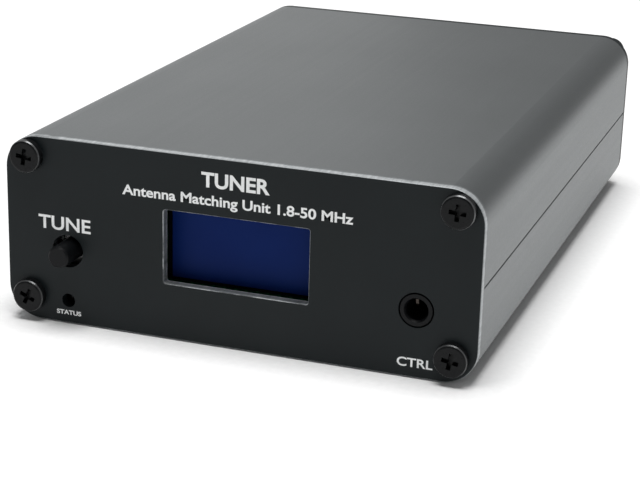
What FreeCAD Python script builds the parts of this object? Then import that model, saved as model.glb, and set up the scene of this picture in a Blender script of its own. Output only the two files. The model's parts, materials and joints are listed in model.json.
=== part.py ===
"""Automatic antenna tuner in a split aluminium case, as a parametric FreeCAD document.

Millimetres. The origin is on the table under the middle of the case: +X is the right-hand side seen from
the front, the front panel faces -Y, the sockets are on the +Y panel, and +Z is up.
"""

import FreeCAD, Part
import Sketcher
import os
import re

V = FreeCAD.Vector
doc = FreeCAD.newDocument("AntennaTuner")

# ---------------------------------------------------------------- driving dimensions

SIZES = {
    # case
    "case_width": 81.0,
    "case_height": 31.6,
    "body_length": 116.6,  # the two extrusions, without the panels
    "panel_thick": 1.6,
    "corner_radius": 5.7,
    "wall_thick": 1.8,
    "seam_bevel": 0.2,
    "edge_bevel": 0.1,
    "lip_thick": 0.8,
    "lip_height": 1.0,
    "screw_inset_x": 4.05,
    "screw_inset_low": 4.15,
    "screw_inset_high": 3.35,
    "boss_radius": 2.4,
    "tapped_radius": 1.25,
    "screw_radius": 1.2,
    "screw_hole": 1.7,
    "screw_head_radius": 2.74,
    "screw_head_high": 1.6,
    "screw_length": 8.0,
    # main board
    "board_top": 8.7,
    "board_thick": 1.6,
    "board_width": 77.0,
    "board_length": 115.6,
    "rib_thick": 1.1,
    "rib_depth": 1.8,
    # display
    "display_x": 0.08,
    "display_z": 15.73,
    "window_width": 24.97,
    "window_height": 12.59,
    "window_corner": 0.45,
    "display_recess": 2.7,
    "glass_width": 26.9,
    "glass_height": 19.3,
    "glass_thick": 1.45,
    # tune button, status lamp and control jack
    "button_x": -29.58,
    "button_rise": 3.86,
    "button_radius": 1.84,
    "button_hole": 2.8,
    "button_proud": 3.6,
    "button_travel": 0.25,
    "lamp_z": 3.93,
    "lamp_radius": 1.5,
    "lamp_hole": 1.19,
    "jack_x": 30.3,
    "jack_rise": 2.5,
    "jack_bore": 1.8,
    "jack_nose": 2.63,
    "jack_hole": 2.91,
    "jack_depth": 14.0,
    # rear panel
    "socket_x": 26.0,
    "socket_z": 16.15,
    "barrel_radius": 4.83,
    "barrel_bore": 4.06,
    "barrel_end": 74.4,
    "thread_radius": 6.2,
    "thread_hole": 6.35,
    "nut_flats": 14.3,
    "usb_width": 8.94,
    "usb_height": 3.26,
    "usb_gap": 0.35,
    "charge_x": 12.0,
    "post_z": 22.0,
    "post_radius": 1.95,
    "thumb_radius": 5.0,
    # battery
    "battery_x": -26.2,
    "battery_radius": 9.2,
    "battery_length": 65.0,
    "battery_mid": -5.0,
    # matching network
    "relay_pitch": 11.2,
    "relay_first": -34.5,
    "relay_length": 14.0,
    "relay_width": 9.0,
    "relay_height": 6.5,
    "inductor_relay_x": -7.6,
    "inductor_x": 7.4,
    "capacitor_relay_x": 27.0,
    "core_outer": 6.35,
    "core_inner": 3.9,
    "core_wide": 4.8,
    "wire_build": 0.75,
}
SCREW_CORNERS = {"left_low": (-1, 0), "right_low": (1, 0), "left_high": (-1, 1), "right_high": (1, 1)}
SCREW_TURNS = {"left_low": 24, "right_low": 10, "left_high": 8, "right_high": 4}  # degrees of the recess
NETWORK_STAGES = 7

sheet = doc.addObject("Spreadsheet::Sheet", "Sizes")
for row, (alias, value) in enumerate(SIZES.items(), start=1):
    sheet.set(f"A{row}", alias.replace("_", " "))
    sheet.set(f"B{row}", str(value))
    sheet.setAlias(f"B{row}", alias)
doc.recompute()

# ---------------------------------------------------------------- helpers

pieces = []


def formula(text):
    """The formula with each size's name pointing at its spreadsheet cell."""
    return re.sub(r"[a-z]+(?:_[a-z]+)+", lambda m: "Sizes." + m.group(), str(text))


def bind(thing, prop, text):
    thing.setExpression(prop, formula(text))


def place(thing, x=0, y=0, z=0, axis=None, turn=0):
    """Moves a thing to a place given by formulas, turned about an axis by an angle in degrees."""
    if axis:
        thing.Placement = FreeCAD.Placement(V(0, 0, 0), FreeCAD.Rotation(V(*axis), turn))
    for prop, text in (("x", x), ("y", y), ("z", z)):
        bind(thing, f"Placement.Base.{prop}", text)
    return thing


def piece(node, thing):
    """Names a thing as a finished sub-part; the label is the name of its file."""
    thing.Label = node
    pieces.append(thing)
    return thing


def block(name, x, y, z):
    """A box between pairs of formulas (low, high) along each axis."""
    box = doc.addObject("Part::Box", name)
    for prop, (low, high) in (("Length", x), ("Width", y), ("Height", z)):
        bind(box, prop, f"({high}) - ({low})")
    return place(box, x[0], y[0], z[0])


def rod(name, axis, radius, span, at):
    """A cylinder along x, y or z over a span of formulas; at holds its other two coordinates in order."""
    cylinder = doc.addObject("Part::Cylinder", name)
    bind(cylinder, "Radius", radius)
    bind(cylinder, "Height", f"({span[1]}) - ({span[0]})")
    if axis == "x":
        return place(cylinder, span[0], at[0], at[1], (0, 1, 0), 90)
    if axis == "y":
        return place(cylinder, at[0], span[0], at[1], (1, 0, 0), -90)
    return place(cylinder, at[0], at[1], span[0])


def hexagon(name, flats, span, at):
    """A hexagonal bar along y, sized across its flats."""
    bar = doc.addObject("Part::Prism", name)
    bar.Polygon = 6
    bind(bar, "Circumradius", f"({flats}) / 1.7320508")
    bind(bar, "Height", f"({span[1]}) - ({span[0]})")
    return place(bar, at[0], span[0], at[1], (1, 0, 0), -90)


def fuse(name, *things):
    joined = doc.addObject("Part::MultiFuse", name)
    joined.Shapes = list(things)
    return joined


def cut(name, base, *tools):
    left = doc.addObject("Part::Cut", name)
    left.Base = base
    left.Tool = tools[0] if len(tools) == 1 else fuse(name + "Tools", *tools)
    return left


def group(name, *things):
    together = doc.addObject("Part::Compound", name)
    together.Links = list(things)
    return together


def copy_of(name, master, x=0, y=0, z=0, axis=None, turn=0):
    link = doc.addObject("App::Link", name)
    link.LinkedObject = master
    return place(link, x, y, z, axis, turn)


def sketch_on(owner, name, role, offset=0):
    """A sketch on one of its body's own planes, shifted along that plane's normal."""
    sketch = owner.newObject("Sketcher::SketchObject", name)
    plane = next(f for f in owner.Origin.OriginFeatures if f.Role == role)
    sketch.AttachmentSupport = [(plane, "")]
    sketch.MapMode = "FlatFace"
    bind(sketch, "AttachmentOffset.Base.z", offset)
    return sketch


def pin_point(sketch, geometry, vertex, at):
    """Holds a point of the sketch at coordinates given by formulas."""
    for kind, text in (("DistanceX", at[0]), ("DistanceY", at[1])):
        value = float(sketch.evalExpression(formula(text)))
        index = sketch.addConstraint(Sketcher.Constraint(kind, -1, 1, geometry, vertex, value))
        bind(sketch, f"Constraints[{index}]", text)


def polygon(sketch, points):
    """A closed outline of straight lines through points given by formulas."""
    found = [V(*(float(sketch.evalExpression(formula(c))) for c in p), 0) for p in points]
    first = sketch.GeometryCount
    count = len(found)
    sketch.addGeometry([Part.LineSegment(found[i], found[(i + 1) % count]) for i in range(count)])
    for i in range(count):
        joint = Sketcher.Constraint("Coincident", first + i, 2, first + (i + 1) % count, 1)
        sketch.addConstraint(joint)
    for i, point in enumerate(points):
        pin_point(sketch, first + i, 1, point)


def rectangle(sketch, low, high):
    polygon(sketch, [(low[0], low[1]), (high[0], low[1]), (high[0], high[1]), (low[0], high[1])])


def circle(sketch, at, radius):
    size = float(sketch.evalExpression(formula(radius)))
    index = sketch.addGeometry(Part.Circle(V(0, 0, 0), V(0, 0, 1), size))
    pin_point(sketch, index, 3, at)
    number = sketch.addConstraint(Sketcher.Constraint("Radius", index, size))
    bind(sketch, f"Constraints[{number}]", radius)


def pad(owner, sketch, length):
    """Thickens a sketch by the same amount to both sides of its plane."""
    feature = owner.newObject("PartDesign::Pad", sketch.Name + "Pad")
    feature.Profile = sketch
    feature.SideType = "Symmetric"
    bind(feature, "Length", length)
    return feature


def pocket(owner, sketch):
    """Cuts a sketch right through its body, to both sides of its plane."""
    feature = owner.newObject("PartDesign::Pocket", sketch.Name + "Pocket")
    feature.Profile = sketch
    feature.SideType = "Symmetric"
    feature.Type = "ThroughAll"
    return feature


def dress(owner, kind, base, size, wanted):
    """A fillet or chamfer on the edges of a feature that a test picks."""
    doc.recompute()
    names = [f"Edge{i}" for i, e in enumerate(base.Shape.Edges, start=1) if wanted(e)]
    feature = owner.newObject(f"PartDesign::{kind}", f"{base.Name}{kind}")
    feature.Base = (base, names)
    bind(feature, "Radius" if kind == "Fillet" else "Size", size)
    return feature


def along_y(edge):
    """True for a straight edge that runs along the case."""
    return edge.BoundBox.XLength < 1e-6 and edge.BoundBox.ZLength < 1e-6


def turned(node, profile, x=0, z=0):
    """A body of revolution about a line along y through (x, z); the profile is (radius, y) formulas."""
    owner = doc.addObject("PartDesign::Body", node)
    sketch = sketch_on(owner, node + "Profile", "XY_Plane")
    polygon(sketch, profile)
    feature = owner.newObject("PartDesign::Revolution", node + "Turn")
    feature.Profile = sketch
    feature.ReferenceAxis = (sketch, ["V_Axis"])
    feature.Angle = 360
    return place(owner, x, 0, z)


# ---------------------------------------------------------------- case

HALF = "case_width / 2"
INNER = "(case_width / 2 - wall_thick)"
SEAM = "case_height / 2"
FRONT = "(-body_length / 2 - panel_thick)"  # outer face of the front panel
INSIDE_FRONT = "(-body_length / 2)"
REAR = "(body_length / 2 + panel_thick)"
INSIDE_REAR = "(body_length / 2)"
BOSS_X = "(case_width / 2 - screw_inset_x)"


def case_half(node, screw_inset):
    """One extrusion: floor, rounded corners, two side walls, card slots, screw bosses and a lip joint."""
    owner = doc.addObject("PartDesign::Body", node)
    outer = sketch_on(owner, node + "Outer", "XZ_Plane")
    polygon(
        outer,
        [
            (f"-{HALF}", 0),
            (HALF, 0),
            (HALF, f"{SEAM} - seam_bevel"),
            (f"{HALF} - seam_bevel", SEAM),
            (f"-{HALF} + seam_bevel", SEAM),
            (f"-{HALF}", f"{SEAM} - seam_bevel"),
        ],
    )
    pad(owner, outer, "body_length")
    hollow = sketch_on(owner, node + "Hollow", "XZ_Plane")
    rectangle(hollow, (f"-{INNER}", "wall_thick"), (INNER, f"{SEAM} + 1"))
    cavity = pocket(owner, hollow)
    floor = SIZES["wall_thick"] + 0.1
    inside = dress(
        owner,
        "Fillet",
        cavity,
        "corner_radius - wall_thick",
        lambda e: along_y(e) and 1 < e.BoundBox.ZMax < floor,
    )
    dress(owner, "Fillet", inside, "corner_radius", lambda e: along_y(e) and e.BoundBox.ZMax < 0.1)
    for side, sign in (("Left", "-"), ("Right", "")):
        slot = sketch_on(owner, f"{node}Slot{side}", "XZ_Plane")
        near, far = f"{sign}({INNER} + 0.5)", f"{sign}({INNER} - rib_depth)"
        low_top, high_foot = "board_top - board_thick - 0.08", "board_top + 0.1"
        rectangle(slot, (near, f"{low_top} - rib_thick"), (far, low_top))
        rectangle(slot, (near, high_foot), (far, f"{high_foot} + rib_thick"))
        pad(owner, slot, "body_length")
        boss = sketch_on(owner, f"{node}Boss{side}", "XZ_Plane")
        circle(boss, (f"{sign}{BOSS_X}", screw_inset), "boss_radius")
        pad(owner, boss, "body_length")
        tapped = sketch_on(owner, f"{node}Tapped{side}", "XZ_Plane")
        circle(tapped, (f"{sign}{BOSS_X}", screw_inset), "tapped_radius")
        pocket(owner, tapped)
    lip = sketch_on(owner, node + "Lip", "XZ_Plane")
    rectangle(lip, (f"-{INNER} - lip_thick", f"{SEAM} - 1"), (f"-{INNER}", f"{SEAM} + lip_height"))
    pad(owner, lip, "body_length")
    recess = sketch_on(owner, node + "Recess", "XZ_Plane")
    rectangle(
        recess,
        (f"{INNER} - 1", f"{SEAM} - lip_height - 0.1"),
        (f"{INNER} + lip_thick + 0.1", f"{SEAM} + 1"),
    )
    pocket(owner, recess)
    return piece(node, owner)


case_half("case_bottom", "screw_inset_low")
place(case_half("case_top", "screw_inset_high"), 0, 0, "case_height", (0, 1, 0), 180)


def end_panel(node, middle):
    """A plate with the outline of the case and a clearance hole at each corner."""
    owner = doc.addObject("PartDesign::Body", node)
    outline = sketch_on(owner, node + "Outline", "XZ_Plane", f"-({middle})")
    rectangle(outline, (f"-{HALF}", 0), (HALF, "case_height"))
    plate = pad(owner, outline, "panel_thick")
    dress(owner, "Fillet", plate, "corner_radius", along_y)
    holes = sketch_on(owner, node + "ScrewHoles", "XZ_Plane", f"-({middle})")
    for sign, high in SCREW_CORNERS.values():
        circle(holes, screw_at(sign, high), "screw_hole")
    pocket(owner, holes)
    return piece(node, owner)


def screw_at(sign, high):
    """The corner screw's (x, z): sign is its side and high is 1 for the upper row."""
    return f"{sign} * {BOSS_X}", "case_height - screw_inset_high" if high else "screw_inset_low"


def openings(panel, middle, name, circles=(), slots=()):
    """Holes in a panel: circles are ((x, z), radius) and slots are (low, high) corners."""
    sketch = sketch_on(panel, name, "XZ_Plane", f"-({middle})")
    for at, radius in circles:
        circle(sketch, at, radius)
    for low, high in slots:
        rectangle(sketch, low, high)
    return pocket(panel, sketch)


def bevel_face(panel, base, face_y):
    """Breaks the outline and the straight-sided openings of the outer face; round holes stay sharp."""

    def on_face(edge):
        box = edge.BoundBox
        return not edge.isClosed() and abs(box.YMin - face_y) < 1e-4 and abs(box.YMax - face_y) < 1e-4

    dress(panel, "Chamfer", base, "edge_bevel", on_face)


front_middle = "-body_length / 2 - panel_thick / 2"
rear_middle = "body_length / 2 + panel_thick / 2"
BUTTON_Z = "(board_top + button_rise)"
JACK_Z = "(board_top + jack_rise)"
USB_Z = "(board_top + usb_height / 2)"
WINDOW_LOW = ("display_x - window_width / 2", "display_z - window_height / 2")
WINDOW_HIGH = ("display_x + window_width / 2", "display_z + window_height / 2")

front_panel = end_panel("front_panel", front_middle)
front_cuts = openings(
    front_panel,
    front_middle,
    "FrontCuts",
    circles=[
        (("button_x", BUTTON_Z), "button_hole"),
        (("button_x", "lamp_z"), "lamp_hole"),
        (("jack_x", JACK_Z), "jack_hole"),
    ],
    slots=[(WINDOW_LOW, WINDOW_HIGH)],
)
half_case_length = SIZES["body_length"] / 2 + SIZES["panel_thick"]
window_reach = (SIZES["window_width"] + 1) / 2


def at_window(edge):
    """True for the four corner edges of the display window."""
    return along_y(edge) and abs(edge.BoundBox.XMin - SIZES["display_x"]) < window_reach


rounded_window = dress(front_panel, "Fillet", front_cuts, "window_corner", at_window)
bevel_face(front_panel, rounded_window, -half_case_length)

rear_panel = end_panel("rear_panel", rear_middle)
usb_half = "(usb_width / 2 + usb_gap)"
rear_cuts = openings(
    rear_panel,
    rear_middle,
    "RearCuts",
    circles=[
        (("socket_x", "socket_z"), "thread_hole"),
        (("-socket_x", "socket_z"), "thread_hole"),
        (("charge_x", JACK_Z), "lamp_hole"),
        ((0, "post_z"), "post_radius + 0.15"),
    ],
    slots=[
        (
            (f"-{usb_half}", f"{USB_Z} - usb_height / 2 - usb_gap"),
            (usb_half, f"{USB_Z} + usb_height / 2 + usb_gap"),
        )
    ],
)
bevel_face(rear_panel, rear_cuts, half_case_length)


# ---------------------------------------------------------------- case screws


def pan_head_screw(name):
    """Cross-recessed pan head screw: axis along y, head towards -y, underside of the head at y = 0."""
    owner = turned(
        name,
        [
            (0, "-screw_head_high"),
            ("screw_head_radius - 0.42", "-screw_head_high"),
            ("screw_head_radius - 0.14", "-screw_head_high + 0.1"),
            ("screw_head_radius", "-screw_head_high + 0.34"),
            ("screw_head_radius", 0),
            ("screw_radius", 0),
            ("screw_radius", "screw_length - 0.5"),
            ("screw_radius - 0.5", "screw_length"),
            (0, "screw_length"),
        ],
    )
    recess = sketch_on(owner, name + "Recess", "XZ_Plane", "screw_head_high + 0.1")
    arm, width = "1.38", "0.37"
    polygon(
        recess,
        [
            (f"-{arm}", f"-{width}"),
            (f"-{width}", f"-{width}"),
            (f"-{width}", f"-{arm}"),
            (width, f"-{arm}"),
            (width, f"-{width}"),
            (arm, f"-{width}"),
            (arm, width),
            (width, width),
            (width, arm),
            (f"-{width}", arm),
            (f"-{width}", width),
            (f"-{arm}", width),
        ],
    )
    cross = owner.newObject("PartDesign::Pocket", name + "Cross")
    cross.Profile = recess
    bind(cross, "Length", "screw_head_high * 0.75")
    return owner


screw = pan_head_screw("PanHeadScrew")
for node, face, flip in (("front_screws", FRONT, 0), ("rear_screws", REAR, 180)):
    copies = []
    for corner, (sign, high) in SCREW_CORNERS.items():
        x, z = screw_at(sign, high)
        link = copy_of(f"{node}_{corner}", screw, x, face, z)
        spin = FreeCAD.Rotation(V(0, 1, 0), SCREW_TURNS[corner])
        link.Placement = FreeCAD.Placement(V(0, 0, 0), FreeCAD.Rotation(V(0, 0, 1), flip) * spin)
        copies.append(link)
    piece(node, group(node + "Group", *copies))


# ---------------------------------------------------------------- main board

BOARD_FOOT = "(board_top - board_thick)"
GLASS_Y = "(-body_length / 2 + display_recess)"
GLASS_BACK = "(-body_length / 2 + display_recess + glass_thick)"
GLASS_FOOT = "(board_top + 0.1)"
GLASS_TOP = "(board_top + 0.1 + glass_height)"


def about(middle, width):
    """The (low, high) pair of a width centred on a middle."""
    return f"{middle} - ({width}) / 2", f"{middle} + ({width}) / 2"


def main_board():
    """The board that slides into the case's slots, notched under the display."""
    length = about(0, "board_length")
    plate = block("BoardPlate", about(0, "board_width"), length, (BOARD_FOOT, "board_top"))
    notch_y = (f"{length[0]} - 1", f"{GLASS_BACK} - 0.4")
    notch_z = (f"{BOARD_FOOT} - 1", "board_top + 1")
    notch = block("BoardNotch", about("display_x", "glass_width + 1"), notch_y, notch_z)
    return piece("main_board", cut("MainBoard", plate, notch))


main_board()

# ---------------------------------------------------------------- display

piece(
    "display_glass",
    block(
        "DisplayGlass", about("display_x", "glass_width"), (GLASS_Y, GLASS_BACK), (GLASS_FOOT, GLASS_TOP)
    ),
)
piece(
    "display_film",
    block(
        "DisplayFilm",
        about("display_x", "window_width + 0.3"),
        (f"{GLASS_Y} - 0.2", GLASS_Y),
        (f"{GLASS_FOOT} + 0.55", "display_z + window_height / 2 + 2.5"),
    ),
)
CARRIER_BACK = f"{GLASS_BACK} + 1"
piece(
    "display_board",
    block(
        "DisplayBoard",
        about("display_x", "glass_width + 2.6"),
        (GLASS_BACK, CARRIER_BACK),
        (GLASS_FOOT, f"{GLASS_TOP} - 0.4"),
    ),
)


def display_ribbon():
    """Flat cable from the glass over the top of its carrier board and down the back."""
    owner = doc.addObject("PartDesign::Body", "DisplayRibbon")
    side = sketch_on(owner, "RibbonSide", "YZ_Plane", "display_x")
    thin, rise = "0.2", f"{GLASS_TOP} + 0.6"
    polygon(
        side,
        [
            (f"{GLASS_Y} - {thin}", f"{GLASS_TOP} - 1.8"),
            (GLASS_Y, f"{GLASS_TOP} - 1.8"),
            (GLASS_Y, rise),
            (CARRIER_BACK, rise),
            (CARRIER_BACK, f"{GLASS_TOP} - 7"),
            (f"{CARRIER_BACK} + {thin}", f"{GLASS_TOP} - 7"),
            (f"{CARRIER_BACK} + {thin}", f"{rise} + {thin}"),
            (f"{GLASS_Y} - {thin}", f"{rise} + {thin}"),
        ],
    )
    pad(owner, side, 9)
    return piece("display_ribbon", owner)


display_ribbon()
HEADER_PITCH = 2.54
header_y = (CARRIER_BACK, f"{CARRIER_BACK} + 2.5")
header = [block("HeaderBlock", about("display_x", 10.2), header_y, ("board_top", "board_top + 2.5"))]
for k in range(4):
    pin_x = about(f"display_x + {(k - 1.5) * HEADER_PITCH}", 0.6)
    upright_y = (f"{CARRIER_BACK} + 0.9", f"{CARRIER_BACK} + 1.5")
    tip_y = (CARRIER_BACK, f"{CARRIER_BACK} + 1.5")
    header.append(block(f"HeaderPin{k}", pin_x, upright_y, ("board_top", "board_top + 4")))
    header.append(block(f"HeaderTip{k}", pin_x, tip_y, ("board_top + 3.4", "board_top + 4")))
piece("display_header", fuse("HeaderFuse", *header))

# ---------------------------------------------------------------- tune button

SWITCH_FACE = "(-body_length / 2 + 2.4)"
piece(
    "tune_button",
    turned(
        "TuneButton",
        [
            (0, f"{FRONT} - button_proud"),
            ("button_radius - 0.3", f"{FRONT} - button_proud"),
            ("button_radius", f"{FRONT} - button_proud + 0.3"),
            ("button_radius", f"{SWITCH_FACE} + 0.6"),
            (0, f"{SWITCH_FACE} + 0.6"),
        ],
        "button_x",
        BUTTON_Z,
    ),
)
SWITCH_BACK = f"({SWITCH_FACE} + 3.4)"
COVER_FACE = f"({SWITCH_FACE} - 0.3)"
BUTTON_AXIS = ("button_x", BUTTON_Z)
switch_bore = (SWITCH_FACE, f"{SWITCH_FACE} + 1.6")
piece(
    "switch_body",
    cut(
        "SwitchBody",
        block("SwitchBlock", about("button_x", 6), (SWITCH_FACE, SWITCH_BACK), about(BUTTON_Z, 6)),
        rod("SwitchBore", "y", "button_radius + 0.2", switch_bore, BUTTON_AXIS),
    ),
)


def switch_bracket():
    """Folded cover over the switch: a front plate with a hole for the button and a leg down each side."""
    through_cover = (f"{COVER_FACE} - 1", f"{SWITCH_FACE} + 1")
    inside = about("button_x", 6.1)
    shell_z = ("board_top", f"{BUTTON_Z} + 3.35")
    room_z = ("board_top - 1", f"{BUTTON_Z} + 3.05")
    shell = block("BracketBlock", about("button_x", 7.4), (COVER_FACE, SWITCH_BACK), shell_z)
    room = block("BracketRoom", inside, (SWITCH_FACE, f"{SWITCH_BACK} + 1"), room_z)
    hole = rod("BracketHole", "y", "button_radius + 0.07", through_cover, BUTTON_AXIS)
    step = block("BracketStep", inside, through_cover, ("board_top - 1", "board_top + 0.6"))
    return piece("switch_bracket", cut("SwitchBracket", shell, room, hole, step))


switch_bracket()
DOME = f"({SWITCH_FACE} + 0.6 + button_travel + 0.05)"
piece(
    "switch_dome",
    turned(
        "SwitchDome",
        [
            (0, DOME),
            ("button_radius - 0.6", f"{DOME} + 0.15"),
            ("button_radius + 0.1", f"{DOME} + 0.5"),
            ("button_radius + 0.1", f"{DOME} + 0.6"),
            ("button_radius - 0.6", f"{DOME} + 0.25"),
            (0, f"{DOME} + 0.1"),
        ],
        "button_x",
        BUTTON_Z,
    ),
)

# ---------------------------------------------------------------- lamps


def lamp(node, x, z, tip, away, board_face, rise):
    """A round lamp behind a panel hole: tip is its front end in y, away is +1 or -1, into the case."""
    back = f"({tip} + {away} * 5)"
    piece(
        node,
        turned(
            node + "Lens",
            [
                (0, tip),
                ("lamp_radius * 0.5", f"{tip} + {away} * 0.2"),
                ("lamp_radius * 0.87", f"{tip} + {away} * 0.75"),
                ("lamp_radius", f"{tip} + {away} * 1.5"),
                ("lamp_radius", f"{tip} + {away} * 4.1"),
                ("lamp_radius + 0.25", f"{tip} + {away} * 4.1"),
                ("lamp_radius + 0.25", back),
                (0, back),
            ],
            x,
            z,
        ),
    )
    low, high = (back, f"{back} + 2.4") if away > 0 else (f"{back} - 2.4", back)
    end = (f"{high} - 0.5", high) if away > 0 else (low, f"{low} + 0.5")
    column = (z, board_face) if rise > 0 else (board_face, z)
    legs = []
    for k in (-1, 1):
        across = about(f"{x} + {k * 0.9}", 0.5)
        flat = block(f"{node}Run{k + 1}", across, (low, high), about(z, 0.5))
        upright = block(f"{node}Rise{k + 1}", across, end, column)
        legs.append(fuse(f"{node}Leg{k + 1}", flat, upright))
    piece(node + "_legs", group(node + "Legs", *legs))


lamp("status_lamp", "button_x", "lamp_z", f"{INSIDE_FRONT} + 0.3", 1, BOARD_FOOT, 1)
lamp("charge_lamp", "charge_x", JACK_Z, f"{INSIDE_REAR} - 0.3", -1, "board_top", -1)

# ---------------------------------------------------------------- control jack


def cone(name, radii, length, at):
    """A truncated cone along +y from at, with its two radii in order."""
    solid = doc.addObject("Part::Cone", name)
    bind(solid, "Radius1", radii[0])
    bind(solid, "Radius2", radii[1])
    bind(solid, "Height", length)
    return place(solid, *at, (1, 0, 0), -90)


def control_jack():
    """Moulded jack: a block on the board, and a round nose flush with the panel's face."""
    axis = ("jack_x", JACK_Z)
    body_y = (f"{INSIDE_FRONT} + 0.3", f"{FRONT} + jack_depth + 1")
    body = block("JackBody", about("jack_x", 6.2), body_y, ("board_top", "board_top + 5"))
    nose = rod("JackNose", "y", "jack_nose", (FRONT, f"{INSIDE_FRONT} + 0.4"), axis)
    bore = rod("JackBore", "y", "jack_bore", (f"{FRONT} - 1", f"{FRONT} + jack_depth"), axis)
    mouth = cone("JackMouth", ("jack_bore + 0.22", "jack_bore"), 0.4, ("jack_x", FRONT, JACK_Z))
    return piece("control_jack", cut("ControlJack", fuse("JackSolid", body, nose), bore, mouth))


control_jack()
tabs = []
for k, (side, along) in enumerate(((-1, 3), (1, 5.5), (-1, 8), (1, 10.5))):
    wall = f"jack_x + {side * 3.1}"
    outer = f"jack_x + {side * 3.35}"
    across = (outer, wall) if side < 0 else (wall, outer)
    tab_y = about(f"{INSIDE_FRONT} + {along}", 1.6)
    foot = (f"jack_x - 4.3", f"jack_x - 3.1") if side < 0 else ("jack_x + 3.1", "jack_x + 4.3")
    tabs.append(
        fuse(
            f"JackTab{k}",
            block(f"JackTabRise{k}", across, tab_y, ("board_top", "board_top + 3.6")),
            block(f"JackTabFoot{k}", foot, tab_y, ("board_top", "board_top + 0.25")),
        )
    )
piece("control_jack_contacts", group("JackTabs", *tabs))

# ---------------------------------------------------------------- radio-frequency sockets


def rf_socket(prefix, x):
    """Bayonet bulkhead socket: shell, insulator, centre contact, tooth washer, nut and its lead."""
    at = (x, "socket_z")
    shell = turned(
        prefix + "_shell_body",
        [
            (3.02, f"{INSIDE_REAR} - 7"),
            (5.2, f"{INSIDE_REAR} - 7"),
            (5.2, f"{INSIDE_REAR} - 3.4"),
            (7.3, f"{INSIDE_REAR} - 3.4"),
            (7.3, INSIDE_REAR),
            ("thread_radius", INSIDE_REAR),
            ("thread_radius", f"{REAR} + 4.7"),
            ("thread_radius - 0.4", f"{REAR} + 5.1"),
            ("barrel_radius", f"{REAR} + 5.1"),
            ("barrel_radius", "barrel_end - 0.3"),
            ("barrel_radius - 0.3", "barrel_end"),
            ("barrel_bore + 0.2", "barrel_end"),
            ("barrel_bore", "barrel_end - 0.2"),
            ("barrel_bore", f"{REAR} + 5.6"),
            (3.02, f"{REAR} + 5.6"),
        ],
        x,
        "socket_z",
    )
    lug_at = ("barrel_end - 3", "socket_z")
    out_span = (f"{x} + barrel_radius - 0.5", f"{x} + barrel_radius + 0.72")
    in_span = (f"{x} - barrel_radius - 0.72", f"{x} - barrel_radius + 0.5")
    lugs = [
        rod(prefix + "LugOut", "x", 0.98, out_span, lug_at),
        rod(prefix + "LugIn", "x", 0.98, in_span, lug_at),
    ]
    piece(prefix + "_shell", fuse(prefix + "ShellFuse", shell, *lugs))
    piece(
        prefix + "_insulator",
        turned(
            prefix + "_insulator_body",
            [
                (1.08, f"{INSIDE_REAR} - 8.5"),
                (3.0, f"{INSIDE_REAR} - 8.5"),
                (3.0, f"{REAR} + 5.6"),
                (2.35, f"{REAR} + 5.6"),
                (2.35, "barrel_end - 1.8"),
                (1.08, "barrel_end - 1.8"),
            ],
            x,
            "socket_z",
        ),
    )
    contact = turned(
        prefix + "_contact_body",
        [
            (0, f"{INSIDE_REAR} - 9"),
            (0.55, f"{INSIDE_REAR} - 9"),
            (0.55, f"{INSIDE_REAR} - 11"),
            (1.04, f"{INSIDE_REAR} - 11"),
            (1.04, "barrel_end - 2.2"),
            (0.68, "barrel_end - 2.2"),
            (0.68, "barrel_end - 8"),
            (0, "barrel_end - 8"),
        ],
        x,
        "socket_z",
    )
    slit = block(prefix + "Slit", about(x, 0.25), ("barrel_end - 6", "barrel_end"), about("socket_z", 3))
    piece(prefix + "_contact", cut(prefix + "ContactCut", contact, slit))
    washer_span = (REAR, f"{REAR} + 0.6")
    piece(
        prefix + "_washer",
        cut(
            prefix + "WasherCut",
            rod(prefix + "WasherDisc", "y", 8.1, washer_span, at),
            rod(prefix + "WasherHole", "y", "thread_radius + 0.1", (REAR, f"{REAR} + 1"), at),
        ),
    )
    nut_span = (washer_span[1], f"{REAR} + 3.1")
    nut_cone = ("nut_flats / 2 + 3.1", "nut_flats / 2 + 0.05")
    chamfered = doc.addObject("Part::Common", prefix + "NutCommon")
    chamfered.Base = hexagon(prefix + "NutHex", "nut_flats", nut_span, at)
    chamfered.Tool = cone(prefix + "NutCone", nut_cone, 3.1, (x, REAR, "socket_z"))
    nut_hole = rod(prefix + "NutHole", "y", "thread_radius + 0.05", (REAR, f"{REAR} + 4"), at)
    piece(prefix + "_nut", cut(prefix + "NutCut", chamfered, nut_hole))
    lead_y = f"{INSIDE_REAR} - 12.4"
    run = rod(prefix + "LeadRun", "y", 0.5, (lead_y, f"{INSIDE_REAR} - 9.2"), at)
    bend = doc.addObject("Part::Sphere", prefix + "LeadBend")
    bend.Radius = 0.5
    place(bend, x, lead_y, "socket_z")
    drop = rod(prefix + "LeadDrop", "z", 0.5, ("board_top", "socket_z"), (x, lead_y))
    piece(prefix + "_lead", fuse(prefix + "Lead", run, bend, drop))


rf_socket("radio_socket", "socket_x")
rf_socket("antenna_socket", "-socket_x")

# ---------------------------------------------------------------- charging socket


def racetrack(name, width, height, span, z):
    """A flat-sided bar along y with fully rounded ends, centred on x = 0."""
    flat = block(name + "Flat", about(0, f"{width} - ({height})"), span, about(z, height))
    ends = [
        rod(f"{name}End{side}", "y", f"({height}) / 2", span, (f"{sign} * (({width}) - ({height})) / 2", z))
        for side, sign in (("L", -1), ("R", 1))
    ]
    return fuse(name, flat, *ends)


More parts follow.
